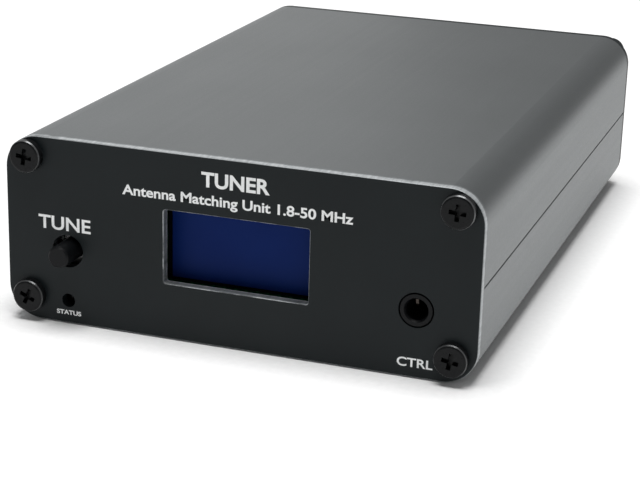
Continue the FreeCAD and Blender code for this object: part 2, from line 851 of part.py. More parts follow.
usb_mouth = f"{REAR} - 0.6"
usb_back = f"{REAR} - 8"
usb_inside = ("usb_width - 0.6", "usb_height - 0.6")
usb_hollow = (f"{usb_back} + 0.3", f"{REAR} + 1")
usb_base = (f"{usb_back} + 0.3", f"{usb_back} + 1.6")
piece(
    "usb_socket_shell",
    cut(
        "UsbShell",
        racetrack("UsbOuter", "usb_width", "usb_height", (usb_back, usb_mouth), USB_Z),
        racetrack("UsbInner", *usb_inside, usb_hollow, USB_Z),
    ),
)
piece(
    "usb_socket_tongue",
    fuse(
        "UsbTongue",
        racetrack("UsbPlug", *usb_inside, usb_base, USB_Z),
        block("UsbBlade", about(0, 6.6), (f"{usb_back} + 1", f"{usb_mouth} - 0.9"), about(USB_Z, 0.7)),
    ),
)

# ---------------------------------------------------------------- ground post

POST = (0, "post_z")
washer_foot = f"{REAR} + 2.45"
washer_face = f"{REAR} + 3.25"
thumb_foot = f"{REAR} + 3.3"
piece(
    "ground_post",
    turned(
        "GroundPost",
        [
            (0, f"{INSIDE_REAR} - 2.6"),
            (3.0, f"{INSIDE_REAR} - 2.6"),
            (3.5, f"{INSIDE_REAR} - 2.0"),
            (3.5, INSIDE_REAR),
            ("post_radius", INSIDE_REAR),
            ("post_radius", f"{REAR} + 13.5"),
            ("post_radius - 0.5", f"{REAR} + 14"),
            (0, f"{REAR} + 14"),
        ],
        *POST,
    ),
)
piece(
    "ground_hex_nut",
    cut(
        "GroundHexCut",
        hexagon("GroundHex", 7, (REAR, f"{REAR} + 2.4"), POST),
        rod("GroundHexHole", "y", "post_radius + 0.02", (REAR, f"{REAR} + 3"), POST),
    ),
)
piece(
    "ground_washer",
    cut(
        "GroundWasherCut",
        rod("GroundWasher", "y", 4.5, (washer_foot, washer_face), POST),
        rod("GroundWasherHole", "y", "post_radius + 0.2", (REAR, f"{REAR} + 5"), POST),
    ),
)


def thumb_nut():
    """Knurled nut with a plain collar against its washer."""
    owner = turned(
        "GroundThumbNut",
        [
            ("post_radius + 0.06", thumb_foot),
            ("thumb_radius - 1.4", thumb_foot),
            ("thumb_radius - 1.4", f"{thumb_foot} + 1.4"),
            ("thumb_radius - 0.3", f"{thumb_foot} + 1.4"),
            ("thumb_radius", f"{thumb_foot} + 1.7"),
            ("thumb_radius", f"{thumb_foot} + 6.2"),
            ("thumb_radius - 0.3", f"{thumb_foot} + 6.5"),
            ("post_radius + 0.06", f"{thumb_foot} + 6.5"),
        ],
        *POST,
    )
    vee = sketch_on(owner, "KnurlVee", "XZ_Plane", f"-({REAR})")
    polygon(vee, [("thumb_radius - 0.35", 0), ("thumb_radius + 0.3", 0.45), ("thumb_radius + 0.3", -0.45)])
    groove = pocket(owner, vee)
    ring = owner.newObject("PartDesign::PolarPattern", "KnurlRing")
    ring.Originals = [groove]
    ring.Axis = (next(f for f in owner.Origin.OriginFeatures if f.Role == "Y_Axis"), [""])
    ring.Angle = 360
    ring.Occurrences = 28
    owner.Tip = ring
    return piece("ground_thumb_nut", owner)


thumb_nut()

# ---------------------------------------------------------------- battery

CELL_Z = "(board_top + 1.4 + battery_radius)"
cell_low = "(battery_mid - battery_length / 2)"
cell_high = "(battery_mid + battery_length / 2)"
piece(
    "battery_cell",
    turned(
        "BatteryCell",
        [
            (0, cell_low),
            ("battery_radius - 0.8", cell_low),
            ("battery_radius", f"{cell_low} + 0.8"),
            ("battery_radius", f"{cell_high} - 1.6"),
            ("battery_radius - 0.8", f"{cell_high} - 0.8"),
            ("battery_radius - 3", f"{cell_high} - 0.8"),
            (2.9, f"{cell_high} - 0.8"),
            (2.9, cell_high),
            (0, cell_high),
        ],
        "battery_x",
        CELL_Z,
    ),
)
tray = (f"{cell_low} - 3.4", f"{cell_high} + 3.4")
trough = (f"{cell_low} - 1.8", f"{cell_high} + 1.8")
piece(
    "battery_holder",
    cut(
        "BatteryHolder",
        block("HolderBlock", about("battery_x", 20.6), tray, ("board_top", f"{CELL_Z} - 0.6")),
        rod("HolderTrough", "y", "battery_radius + 0.12", trough, ("battery_x", CELL_Z)),
    ),
)


def battery_strip(name, foot, away):
    """Bent spring strip between the holder's end wall and the cell; away points at the end wall."""
    owner = doc.addObject("PartDesign::Body", name)
    side = sketch_on(owner, name + "Side", "YZ_Plane", "battery_x")
    wall, thin = f"({foot} + {away * 1.55})", away * 0.3
    polygon(
        side,
        [
            (wall, f"{CELL_Z} - 5"),
            (wall, f"{CELL_Z} + 4.4"),
            (foot, f"{CELL_Z} + 1.5"),
            (foot, f"{CELL_Z} - 1.5"),
            (f"{foot} + {thin}", f"{CELL_Z} - 1.5"),
            (f"{foot} + {thin}", f"{CELL_Z} + 1.3"),
            (f"{wall} - {thin}", f"{CELL_Z} + 3.7"),
            (f"{wall} - {thin}", f"{CELL_Z} - 5"),
        ],
    )
    pad(owner, side, 6)
    return owner


piece(
    "battery_contacts",
    group(
        "BatteryStrips",
        battery_strip("FrontStrip", f"{cell_low} - 0.05", -1),
        battery_strip("RearStrip", f"{cell_high} + 0.05", 1),
    ),
)

# ---------------------------------------------------------------- matching network


def relay_master():
    """Small signal relay standing on the board at the origin: a case and eight feet, as one solid."""
    case_part = block(
        "RelayCase", about(0, "relay_length"), about(0, "relay_width"), (0.3, "relay_height")
    )
    feet = []
    for side in (-1, 1):
        for k, x in enumerate((-5.08, -1.9, 1.3, 5.08)):
            reach = ("relay_width / 2 - 0.2", "relay_width / 2 + 0.5")
            span = reach if side > 0 else tuple(f"-({r})" for r in reversed(reach))
            feet.append(block(f"RelayFoot{side + 1}{k}", about(x, 0.5), span, (0, 0.9)))
    return fuse("Relay", case_part, *feet)


def stages(node, master, x, turn=0, count=NETWORK_STAGES, first="relay_first", z="board_top"):
    """A row of copies along the case, one for each stage of the network."""
    row = [
        copy_of(f"{node}_{k}", master, x, f"{first} + {k} * relay_pitch", z, (0, 0, 1), turn)
        for k in range(count)
    ]
    return piece(node, group(node + "Row", *row))


relay = relay_master()
stages("inductor_relays", relay, "inductor_relay_x")
stages("capacitor_relays", relay, "capacitor_relay_x")
piece("side_relay", group("SideRelay", copy_of("SideRelayCopy", relay, 2.5, 42.85, "board_top")))

core = turned(
    "ToroidCore",
    [
        ("core_inner", "-core_wide / 2"),
        ("core_outer", "-core_wide / 2"),
        ("core_outer", "core_wide / 2"),
        ("core_inner", "core_wide / 2"),
    ],
)


def winding_master():
    """Wire wound round a toroid: a close sleeve about the core with a groove between the turns."""
    owner = turned(
        "ToroidWinding",
        [
            ("core_inner - wire_build", "-core_wide / 2 - wire_build"),
            ("core_outer + wire_build", "-core_wide / 2 - wire_build"),
            ("core_outer + wire_build", "core_wide / 2 + wire_build"),
            ("core_inner - wire_build", "core_wide / 2 + wire_build"),
        ],
    )
    vee = sketch_on(owner, "TurnGap", "XZ_Plane")
    polygon(
        vee,
        [
            ("core_outer + wire_build * 0.45", 0),
            ("core_outer + wire_build + 0.3", 0.5),
            ("core_outer + wire_build + 0.3", -0.5),
        ],
    )
    groove = pocket(owner, vee)
    ring = owner.newObject("PartDesign::PolarPattern", "TurnRing")
    ring.Originals = [groove]
    ring.Axis = (next(f for f in owner.Origin.OriginFeatures if f.Role == "Y_Axis"), [""])
    ring.Angle = 360
    ring.Occurrences = 22
    owner.Tip = ring
    room = turned(
        "WindingRoom",
        [
            ("core_inner - 0.02", "-core_wide / 2 - 0.02"),
            ("core_outer + 0.02", "-core_wide / 2 - 0.02"),
            ("core_outer + 0.02", "core_wide / 2 + 0.02"),
            ("core_inner - 0.02", "core_wide / 2 + 0.02"),
        ],
    )
    return cut("WindingCut", owner, room)


winding = winding_master()
LARGE_COILS = 4
coil_z = "board_top + core_outer + wire_build + 0.1"
stages("inductor_cores", core, "inductor_x", count=LARGE_COILS, z=coil_z)
stages("inductor_windings", winding, "inductor_x", count=LARGE_COILS, z=coil_z)


def air_coil_master():
    """Self-supporting coil lying along x: a sleeve with a ring groove between the turns."""
    points, turns, wire = [], 7, 1.1
    for k in range(turns):
        start = (k - turns / 2) * wire
        points += [(3.35, start + 0.12), (3.6, start + 0.45), (3.6, start + 0.65), (3.35, start + 0.98)]
    half = turns * wire / 2
    return turned("AirCoil", [(2.6, -half)] + points + [(2.6, half)])


stages(
    "air_coils",
    air_coil_master(),
    "inductor_x",
    turn=90,
    count=NETWORK_STAGES - LARGE_COILS,
    first=f"relay_first + {LARGE_COILS} * relay_pitch",
    z="board_top + 3.8",
)

chip = block("ChipCapacitor", about(0, 2.5), about(0, 3.2), (0, 1.8))
stages("tuning_capacitors", chip, "(inductor_x + capacitor_relay_x) / 2 + 0.3")

# ---------------------------------------------------------------- power meter, control and charging

piece(
    "coupler_core",
    cut(
        "CouplerCore",
        block("CouplerBlock", (15.5, 22.5), (38.6, 46.4), ("board_top + 0.5", "board_top + 13")),
        rod("CouplerHoleLow", "x", 1.9, (15, 23), (42.5, "board_top + 3.9")),
        rod("CouplerHoleHigh", "x", 1.9, (15, 23), (42.5, "board_top + 9.6")),
    ),
)


def coupler_wires():
    """One heavy wire through the lower hole and a winding of four turns round the web."""
    line = [
        rod("LineRun", "x", 0.8, (14, 24), (42.5, "board_top + 3.9")),
        rod("LineFootLeft", "z", 0.8, ("board_top", "board_top + 4.7"), (14, 42.5)),
        rod("LineFootRight", "z", 0.8, ("board_top", "board_top + 4.7"), (24, 42.5)),
    ]
    turns = []
    for k in range(4):
        y = 41.6 + 0.6 * k
        outer = block(f"TurnOuter{k}", (14.9, 23.1), about(y, 0.45), ("board_top + 9.0", "board_top + 13.6"))
        inner = block(f"TurnInner{k}", (15.3, 22.7), about(y, 1), ("board_top + 9.4", "board_top + 13.2"))
        turns.append(cut(f"Turn{k}", outer, inner))
    return piece("coupler_wires", group("CouplerWires", fuse("CouplerLine", *line), *turns))


coupler_wires()


def leaded_chip(name, size, pins, pitch):
    """Moulded chip with gull-wing feet on its two long sides, at the origin, long side along x."""
    body_part = block(name + "Mould", about(0, size[0]), about(0, size[1]), (0.15, size[2]))
    feet = []
    for k in range(pins // 2):
        x = (k - (pins / 2 - 1) / 2) * pitch
        feet.append(block(f"{name}Foot{k}", about(x, pitch * 0.35), about(0, size[1] + 2), (0, 0.4)))
    return fuse(name, body_part, *feet)


controller = leaded_chip("Controller", (10.2, 5.3, 1.9), 28, 0.65)
piece("microcontroller", group("Micro", copy_of("MicroCopy", controller, 19.7, -46.2, "board_top")))
charger = leaded_chip("Charger", (4.9, 3.9, 1.6), 8, 1.27)
piece("charger_chip", group("ChargerChip", copy_of("ChargerCopy", charger, -8, 46, "board_top")))
piece(
    "power_choke",
    fuse(
        "PowerChoke",
        block("ChokeBlock", (-16.5, -11), (39, 44.5), ("board_top", "board_top + 2.2")),
        rod("ChokeDrum", "z", 2.4, ("board_top + 2", "board_top + 3"), (-13.75, 41.75)),
    ),
)
small_part = block("SmallPart", about(0, 1.6), about(0, 0.85), (0, 0.7))
small_at = [(9.0 + 3 * i, -41.2) for i in range(6)] + [(-18.5, 36.0 + 1.8 * i) for i in range(5)]
small = [copy_of(f"Small{k}", small_part, x, y, "board_top") for k, (x, y) in enumerate(small_at)]
piece("small_parts", group("SmallParts", *small))

# ---------------------------------------------------------------- check and export

doc.recompute()
broken = [o.Name for o in doc.Objects if {"Invalid", "Error"} & set(o.State)]
if broken:
    raise SystemExit(f"these objects failed: {broken}")

os.makedirs("parts", exist_ok=True)
for old in os.listdir("parts"):
    os.remove(os.path.join("parts", old))
for thing in pieces:
    shape = thing.Shape
    if shape.isNull() or not shape.isValid() or not shape.Solids:
        raise SystemExit(f"{thing.Label} has no valid solid")
    shape.exportStep(os.path.join("parts", thing.Label + ".step"))
print(f"{len(pieces)} sub-parts, {sum(len(t.Shape.Solids) for t in pieces)} solids")
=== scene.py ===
"""Looks of the antenna tuner: finishes, printed legends, small fittings, floor, light and camera.

Metres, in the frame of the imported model: +X right seen from the front, front panel towards -Y, +Z up.
"""

import json
import math
import bmesh
import bpy
from mathutils import Matrix, Vector


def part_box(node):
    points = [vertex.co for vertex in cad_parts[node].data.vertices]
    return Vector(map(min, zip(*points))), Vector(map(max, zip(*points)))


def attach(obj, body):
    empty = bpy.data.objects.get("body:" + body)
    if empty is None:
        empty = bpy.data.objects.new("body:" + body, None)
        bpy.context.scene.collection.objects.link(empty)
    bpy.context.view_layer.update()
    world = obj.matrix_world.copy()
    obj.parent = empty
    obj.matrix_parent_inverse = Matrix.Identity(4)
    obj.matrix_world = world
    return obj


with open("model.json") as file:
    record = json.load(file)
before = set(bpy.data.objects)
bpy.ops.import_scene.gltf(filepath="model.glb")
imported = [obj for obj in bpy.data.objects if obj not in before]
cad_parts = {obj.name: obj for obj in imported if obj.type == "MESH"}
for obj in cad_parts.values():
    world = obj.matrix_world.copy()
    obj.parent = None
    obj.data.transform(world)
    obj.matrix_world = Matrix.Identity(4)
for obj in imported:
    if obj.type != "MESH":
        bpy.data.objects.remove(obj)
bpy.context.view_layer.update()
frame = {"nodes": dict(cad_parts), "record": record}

MM = 0.001
NODES = frame["nodes"]
MOUNTS = {mount["name"]: Vector(mount["pos_m"]) for mount in frame["record"]["mounts"]}
scene = bpy.context.scene

# ---------------------------------------------------------------- places taken from the frame


def middle(node):
    low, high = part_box(node)
    return (low + high) / 2


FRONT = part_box("front_panel")[0].y
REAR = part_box("rear_panel")[1].y
PANEL = middle("front_panel")
LAMP = middle("status_lamp")
JACK = MOUNTS["control_jack"]

# ---------------------------------------------------------------- material helpers

# A Mix node has sockets for each kind of data: its factor, its two colours, and the colour it gives.
MIX_SHARE, MIX_FIRST, MIX_SECOND, MIX_RESULT = 0, 6, 7, 2


class Finish:
    """A material built from nodes, with short ways to add the usual ones.

    A noise of scale 1000 has blotches about a millimetre wide.
    """

    def __init__(self, name, **sockets):
        self.material = bpy.data.materials.new(name)
        self.material.use_nodes = True
        self.nodes = self.material.node_tree.nodes
        self.links = self.material.node_tree.links
        self.shader = self.nodes["Principled BSDF"]
        for socket, value in sockets.items():
            self.shader.inputs[socket.replace("_", " ")].default_value = value
        self.coords = self.nodes.new("ShaderNodeTexCoord")

    def join(self, output, target):
        self.links.new(output, target)

    def axes(self, coordinate):
        """The X, Y and Z outputs of a coordinate, such as Normal or Object."""
        node = self.nodes.new("ShaderNodeSeparateXYZ")
        self.join(self.coords.outputs[coordinate], node.inputs["Vector"])
        return node.outputs

    def stretched(self, scale):
        """Object coordinates in metres, multiplied by a scale along each axis."""
        mapping = self.nodes.new("ShaderNodeMapping")
        mapping.inputs["Scale"].default_value = scale
        self.join(self.coords.outputs["Object"], mapping.inputs["Vector"])
        return mapping.outputs["Vector"]

    def noise(self, scale, detail=3.0, rough=0.55, stretch=(1, 1, 1)):
        node = self.nodes.new("ShaderNodeTexNoise")
        node.inputs["Scale"].default_value = scale
        node.inputs["Detail"].default_value = detail
        node.inputs["Roughness"].default_value = rough
        self.join(self.stretched(stretch), node.inputs["Vector"])
        return node.outputs["Fac"]

    def spread(self, value, low, high, start=0.3, end=0.7):
        """Maps start..end, the middle of a noise's range, to low..high."""
        node = self.nodes.new("ShaderNodeMapRange")
        limits = {"From Min": start, "From Max": end, "To Min": low, "To Max": high}
        for socket, number in limits.items():
            node.inputs[socket].default_value = number
        self.join(value, node.inputs["Value"])
        return node.outputs["Result"]

    def maths(self, operation, *values):
        """A Math node on values, each a number or an output."""
        node = self.nodes.new("ShaderNodeMath")
        node.operation = operation
        for socket, value in zip(node.inputs, values):
            if isinstance(value, (int, float)):
                socket.default_value = value
            else:
                self.join(value, socket)
        return node.outputs["Value"]

    def plus(self, one, two):
        return self.maths("ADD", one, two)

    def minus(self, one, two):
        return self.maths("SUBTRACT", one, two)

    def times(self, one, two):
        return self.maths("MULTIPLY", one, two)

    def unsigned(self, value):
        return self.maths("ABSOLUTE", value)

    def below(self, value, limit):
        """1 where a value is below a limit, and 0 elsewhere."""
        return self.maths("LESS_THAN", value, limit)

    def within(self, value, centre, half):
        """1 where a value is within half of a centre, and 0 elsewhere."""
        return self.below(self.unsigned(self.minus(value, centre)), half)

    def but_for(self, value, zone):
        """A value that fades out as a zone goes from 0 to 1."""
        return self.times(value, self.minus(1.0, zone))

    def blend(self, share, first, second):
        """A colour between two, each a colour or an output."""
        node = self.nodes.new("ShaderNodeMix")
        node.data_type = "RGBA"
        self.join(share, node.inputs[MIX_SHARE])
        for place, value in ((MIX_FIRST, first), (MIX_SECOND, second)):
            if isinstance(value, tuple):
                node.inputs[place].default_value = (*value, 1)
            else:
                self.join(value, node.inputs[place])
        return node.outputs[MIX_RESULT]

    def bump(self, height, distance, strength=1.0):
        node = self.nodes.new("ShaderNodeBump")
        node.inputs["Distance"].default_value = distance
        node.inputs["Strength"].default_value = strength
        self.join(height, node.inputs["Height"])
        self.join(node.outputs["Normal"], self.shader.inputs["Normal"])

    def colour(self, output):
        self.join(output, self.shader.inputs["Base Color"])

    def roughness(self, output):
        self.join(output, self.shader.inputs["Roughness"])

    def metal(self, output):
        self.join(output, self.shader.inputs["Metallic"])


def speckled(name, light, dark, rough=(0.35, 0.5), grain=2500, patch=120, relief=0.01, **sockets):
    """A finish of two close tones in soft patches, with a fine grain in its relief and its gloss.

    Grain and patch are scales of noise, and relief is the depth of the grain in mm.
    """
    finish = Finish(name, **sockets)
    patches = finish.noise(patch, detail=4)
    fine = finish.noise(grain, detail=2)
    patch_share, grain_share = 0.7, 0.3
    share = finish.plus(finish.spread(patches, 0, patch_share), finish.spread(fine, 0, grain_share))
    finish.colour(finish.blend(share, dark, light))
    finish.roughness(finish.spread(fine, *rough))
    finish.bump(fine, relief * MM)
    return finish.material


def drawn(name, light, dark, axis, rough=(0.2, 0.38), relief=0.004, **sockets):
    """A worked metal whose fine marks run round or along one axis, 0 to 2 for X to Z."""
    finish = Finish(name, Metallic=1.0, **sockets)
    scale_along, scale_across = 60, 4000
    stretch = tuple(scale_along if i == axis else scale_across for i in range(3))
    marks = finish.noise(1.0, detail=3, stretch=stretch)
    stains = finish.noise(220, detail=5, rough=0.6)
    finish.colour(finish.blend(finish.spread(stains, 0, 1), dark, light))
    finish.roughness(finish.spread(marks, *rough))
    finish.bump(marks, relief * MM)
    return finish.material


# ---------------------------------------------------------------- finishes of the case


def worn_and_highlit_screw():
    """Black oxide with a polished grain; the heads' rounded rims are lighter metal, partly wear, partly
    painted highlight.
    """
    flat_top, upright_wall = 0.9, 0.3
    oxide_dark, oxide_light = (0.0040, 0.0045, 0.0050), (0.0080, 0.0086, 0.0092)
    worn_highlight_metal, metal_share = (0.130, 0.133, 0.135), 0.7
    finish = Finish("screw_black", IOR=1.24)
    facing = finish.unsigned(finish.axes("Normal")["Y"])
    rim = finish.minus(finish.below(facing, flat_top), finish.below(facing, upright_wall))
    # Lighter metal on the rounded rims: partly wear, and partly a painted highlight along the rims.
    rim_wear_and_highlight = finish.times(rim, finish.spread(finish.noise(700, detail=3), 0.45, 1.0))
    fine = finish.noise(1900, detail=2)
    oxide = finish.blend(finish.spread(fine, 0, 1), oxide_dark, oxide_light)
    finish.colour(finish.blend(rim_wear_and_highlight, oxide, worn_highlight_metal))
    finish.metal(finish.times(rim_wear_and_highlight, metal_share))
    finish.roughness(finish.spread(fine, 0.26, 0.38))
    finish.bump(fine, 0.012 * MM)
    return finish.material


def anodised_case():
    """Blasted and anodised extrusion: very fine grain, faint lines along its length, soft clouds."""
    dark, light = (0.150, 0.160, 0.163), (0.178, 0.189, 0.193)
    lines_in_gloss, lines_in_relief = 0.3, 0.06
    finish = Finish("anodised_case", Metallic=0.8, IOR=1.4)
    grain = finish.noise(3200, detail=2, rough=0.6)
    lines = finish.noise(1.0, detail=2, stretch=(900, 9, 900))
    cloud = finish.noise(35, detail=3)
    marks = finish.plus(finish.spread(lines, 0, 0.08), finish.spread(grain, 0, 0.5))
    finish.colour(finish.blend(finish.plus(finish.spread(cloud, 0, 0.4), marks), dark, light))
    gloss = finish.plus(grain, finish.times(lines, lines_in_gloss))
    finish.roughness(finish.spread(gloss, 0.38, 0.48, start=0.4, end=0.9))
    relief = finish.plus(grain, finish.times(lines, lines_in_relief))
    finish.bump(relief, 0.02 * MM, strength=0.8)
    return finish.material


def black_plate(name, bare_edges):
    """Black anodised plate, whose sawn outline and milled window can be bare aluminium, with painted shade
    and highlights.
    """
    dark, light = (0.0070, 0.0102, 0.0114), (0.0092, 0.0128, 0.0142)
    metal_share, polish, groove_depth = 0.4, 0.04, 2.0
    finish = Finish(name, IOR=1.27)
    grain = finish.noise(4200, detail=2)
    cloud = finish.noise(60, detail=3)
    colour = finish.blend(finish.spread(cloud, 0, 1), dark, light)
    gloss = finish.spread(grain, 0.38, 0.48)
    relief = grain
    if bare_edges:
        # The bare share also holds the painted shade and the painted highlights of the cut edges.
        bare, silver, sawn = bare_metal_and_painted_light(finish)
        colour = finish.blend(bare, colour, silver)
        gloss = finish.minus(gloss, finish.times(bare, polish))
        relief = finish.plus(grain, finish.times(finish.times(sawn, bare), groove_depth))
        finish.metal(finish.times(bare, metal_share))
    finish.colour(colour)
    finish.roughness(gloss)
    finish.bump(relief, 0.006 * MM)
    return finish.material


def bare_metal_and_painted_light(finish):
    """How bare the front plate is at each place, with painted shade and highlights, and the colour and saw
    marks of its metal.

    Only its cut edges are bare, and the round holes stay black. The outline's wall is darkened next to the
    case as painted shade in the gap there. The window's wall is dimmed between its two rims, so that the rims
    show as painted highlights. The bevels are lightened as painted highlights, in dashes at the window, even
    elsewhere.
    """
    place = finish.axes("Object")
    side, level = finish.unsigned(place["X"]), place["Z"]
    depth = finish.minus(place["Y"], FRONT)
    facing = finish.unsigned(finish.axes("Normal")["Y"])

    def zone(middle_x, half_x, middle_z, half_z):
        """1 inside two rectangles, in mm, that mirror each other across the plate."""
        across = finish.within(side, middle_x * MM, half_x * MM)
        return finish.times(across, finish.within(level, middle_z * MM, half_z * MM))

    holes = zone(JACK.x / MM, 4, 8, 7.5)
    window = zone(0, 14, 15.5, 8)

    wall_facing, bevel_facing = 0.5, 0.93
    wall = finish.below(facing, wall_facing)
    bevel = finish.minus(finish.below(facing, bevel_facing), wall)

    # Painted shade: the outline's wall is darkened deeper than 1.15 mm, in the gap next to the case.
    case_side, gap_darkening_share = 1.15 * MM, 0.6
    # Painted highlights: the window's wall is dimmed between its two rims, so that the rims show bright.
    between_rims, half_between, between_dark = 0.8 * MM, 0.52 * MM, 0.62
    wobble = finish.spread(finish.noise(420, detail=3, rough=0.6), -0.08 * MM, 0.08 * MM)
    cut_depth = finish.plus(depth, wobble)
    painted_gap_shade = finish.times(finish.maths("GREATER_THAN", cut_depth, case_side), gap_darkening_share)
    inner_part = finish.times(finish.within(cut_depth, between_rims, half_between), between_dark)
    outline = finish.but_for(finish.but_for(wall, window), painted_gap_shade)
    rims = finish.times(wall, finish.but_for(window, inner_part))
    stained = finish.spread(finish.noise(90, detail=3, rough=0.6), 1, 0.35, start=0.6, end=0.68)
    walls = finish.times(finish.plus(outline, rims), stained)

    # Painted highlights: the bevels turn bare and bright, in dashes at the window and evenly elsewhere.
    dashed_highlight = finish.spread(finish.noise(330, detail=4, rough=0.65), 0.25, 1.0, start=0.44, end=0.56)
    even = finish.spread(finish.noise(110, detail=2), 0.55, 0.85)
    cover = finish.plus(finish.times(window, dashed_highlight), finish.but_for(even, window))
    bare = finish.but_for(finish.plus(walls, finish.times(bevel, cover)), holes)

    sawn = finish.noise(1.0, detail=3, stretch=(2600, 300, 2600))
    silver = finish.blend(finish.spread(sawn, 0, 1), (0.30, 0.32, 0.33), (0.50, 0.52, 0.53))
    return bare, silver, sawn


def board_green():
    """Solder mask, with a lighter net in low relief for the copper tracks under it."""
    dark, light, track = (0.008, 0.075, 0.03), (0.014, 0.11, 0.045), (0.02, 0.17, 0.06)
    finish = Finish("board_green", IOR=1.5)
    cells = finish.nodes.new("ShaderNodeTexBrick")
    cells.inputs["Scale"].default_value = 260
    cells.inputs["Mortar Size"].default_value = 0.05
    finish.join(finish.coords.outputs["Object"], cells.inputs["Vector"])
    weave = finish.noise(1800, detail=2)
    mask = finish.blend(finish.spread(weave, 0, 1), dark, light)
    finish.colour(finish.blend(cells.outputs["Fac"], mask, track))
    finish.roughness(finish.spread(weave, 0.28, 0.4))
    finish.bump(cells.outputs["Fac"], 0.03 * MM)
    return finish.material


def display_blue():
    """Deep blue film, a little cloudy, with fine dust in its gloss."""
    dark, light = (0.0042, 0.0165, 0.108), (0.0053, 0.0215, 0.128)
    finish = Finish("display_blue", IOR=1.13)
    cloud = finish.noise(70, detail=2)
    dust = finish.noise(2600, detail=2)
    finish.colour(finish.blend(finish.spread(cloud, 0, 1), dark, light))
    finish.roughness(finish.spread(dust, 0.3, 0.42))
    finish.bump(dust, 0.002 * MM)
    return finish.material


def legend_white():
    """Screen-printed ink: a slightly uneven cover, with the fine marks of the screen."""
    thin, full = (0.84, 0.86, 0.86), (0.95, 0.96, 0.96)
    finish = Finish("legend_white", IOR=1.48)
    mesh_marks = finish.noise(5200, detail=2)
    cover = finish.noise(900, detail=3)
    finish.colour(finish.blend(finish.spread(cover, 0, 1), thin, full))
    finish.roughness(finish.spread(mesh_marks, 0.45, 0.6))
    finish.bump(mesh_marks, 0.004 * MM)
    return finish.material


def shaded_lamp_resin():
    """Resin darkened as painted shade of the lamp's hole with the lamp off; its haze is in its colour and its
    gloss.
    """
    dark, light = (0.020, 0.020, 0.021), (0.034, 0.034, 0.035)
    finish = Finish("shaded_lamp_resin", Transmission_Weight=0.6, IOR=1.3)
    haze = finish.noise(900, detail=2)
    finish.colour(finish.blend(finish.spread(haze, 0, 1), dark, light))
    finish.roughness(finish.spread(haze, 0.2, 0.32))
    return finish.material


def floor_paper():
    """Pale matt paper."""
    finish = Finish("floor_paper", IOR=1.4)
    fibre = finish.noise(900, detail=3)
    finish.colour(finish.blend(finish.spread(fibre, 0, 1), (0.90, 0.90, 0.90), (0.94, 0.94, 0.94)))
    finish.roughness(finish.spread(fibre, 0.7, 0.85))
    return finish.material


# ---------------------------------------------------------------- plain finishes: light tone, dark tone

X_AXIS, Y_AXIS = 0, 1
BUTTON_BLACK = speckled(
    "button_black", (0.0045, 0.005, 0.006), (0.0025, 0.003, 0.0035),
    rough=(0.35, 0.5), grain=2600, patch=200, relief=0.01, IOR=1.25,
)
PLASTIC_BLACK = speckled(
    "plastic_black", (0.010, 0.011, 0.012), (0.005, 0.005, 0.006),
    rough=(0.3, 0.45), grain=2200, patch=160, relief=0.012, IOR=1.35,
)
NICKEL_TURNED = drawn("nickel_turned", (0.62, 0.60, 0.56), (0.48, 0.47, 0.44), X_AXIS)
NICKEL_STAMPED = speckled(
    "nickel_stamped", (0.62, 0.60, 0.57), (0.46, 0.45, 0.43),
    rough=(0.25, 0.4), grain=1500, patch=260, relief=0.01, Metallic=1.0,
)
STEEL = speckled(
    "steel_sheet", (0.60, 0.60, 0.60), (0.42, 0.42, 0.43),
    rough=(0.22, 0.36), grain=1800, patch=240, relief=0.008, Metallic=1.0,
)
TIN = speckled(
    "tinned_wire", (0.66, 0.66, 0.64), (0.48, 0.48, 0.47),
    rough=(0.3, 0.45), grain=1600, patch=300, relief=0.012, Metallic=1.0,
)
PTFE = speckled(
    "socket_insulator", (0.80, 0.80, 0.77), (0.68, 0.68, 0.65),
    rough=(0.4, 0.55), grain=1700, patch=180, relief=0.008,
)
GOLD = drawn("gold_contact", (0.85, 0.62, 0.27), (0.66, 0.45, 0.17), Y_AXIS)
COPPER = drawn("copper_winding", (0.66, 0.25, 0.09), (0.42, 0.13, 0.045), Y_AXIS, Coat_Weight=0.6)
# The spring leaf in the control jack's bore is darkened to near black as painted shade of the bore.
SHADED_BRONZE = drawn("bronze_spring_in_shade", (0.060, 0.050, 0.044), (0.036, 0.030, 0.026), Y_AXIS)
CORE_RED = speckled(
    "core_coating", (0.42, 0.045, 0.03), (0.28, 0.025, 0.018),
    rough=(0.4, 0.55), grain=1500, patch=200, relief=0.02,
)
FERRITE = speckled(
    "ferrite", (0.070, 0.070, 0.075), (0.035, 0.035, 0.038),
    rough=(0.5, 0.65), grain=1900, patch=240, relief=0.03,
)
RELAY = speckled(
    "relay_case", (0.72, 0.71, 0.66), (0.60, 0.59, 0.55),
    rough=(0.35, 0.48), grain=1500, patch=140, relief=0.012,
)
CERAMIC = speckled(
    "ceramic_chip", (0.50, 0.38, 0.26), (0.36, 0.26, 0.17),
    rough=(0.4, 0.55), grain=1700, patch=260, relief=0.015,
)
AMBER = speckled(
    "flat_cable", (0.42, 0.20, 0.04), (0.28, 0.12, 0.02),
    rough=(0.2, 0.32), grain=1500, patch=200, relief=0.006,
)
SLEEVE = speckled(
    "cell_sleeve", (0.035, 0.19, 0.33), (0.02, 0.12, 0.24),
    rough=(0.25, 0.38), grain=900, patch=120, relief=0.02,
)
GLASS_DARK = speckled(
    "display_glass", (0.006, 0.0065, 0.008), (0.003, 0.003, 0.004),
    rough=(0.08, 0.16), grain=1200, patch=120, relief=0.001, IOR=1.3,
)
INK = legend_white()

# ---------------------------------------------------------------- which nodes have which finish

